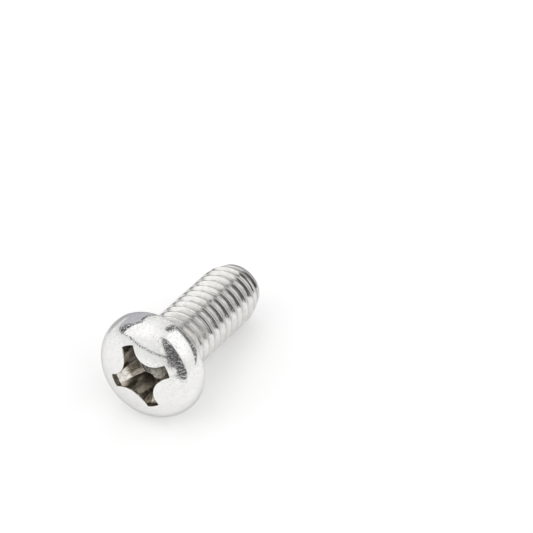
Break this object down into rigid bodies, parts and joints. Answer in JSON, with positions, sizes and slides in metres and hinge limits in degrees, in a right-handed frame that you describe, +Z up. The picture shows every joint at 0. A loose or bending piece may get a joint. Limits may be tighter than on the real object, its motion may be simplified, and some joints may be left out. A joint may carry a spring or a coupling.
{
  "type": "machine screw",
  "caption": "Pan head machine screw with a cross recess and a fully threaded shank, lying on its side. It clamps a part against a tapped hole or a nut.",
  "frame": {"origin": "on the ground, under the middle of the bounding box of the lying screw", "axes": "+Z up; the screw lies along X with the head towards -X and the end of the shank towards +X, the shank sloping down by 9.3 degrees"},
  "size_m": [0.0124, 0.0068, 0.0069],
  "materials": {
    "steel": "bright rolled and headed stainless steel, polished, with fine specks and scuffs on the head"
  },
  "bodies": {
    "root": {"screw": "steel"}
  },
  "joints": []
}
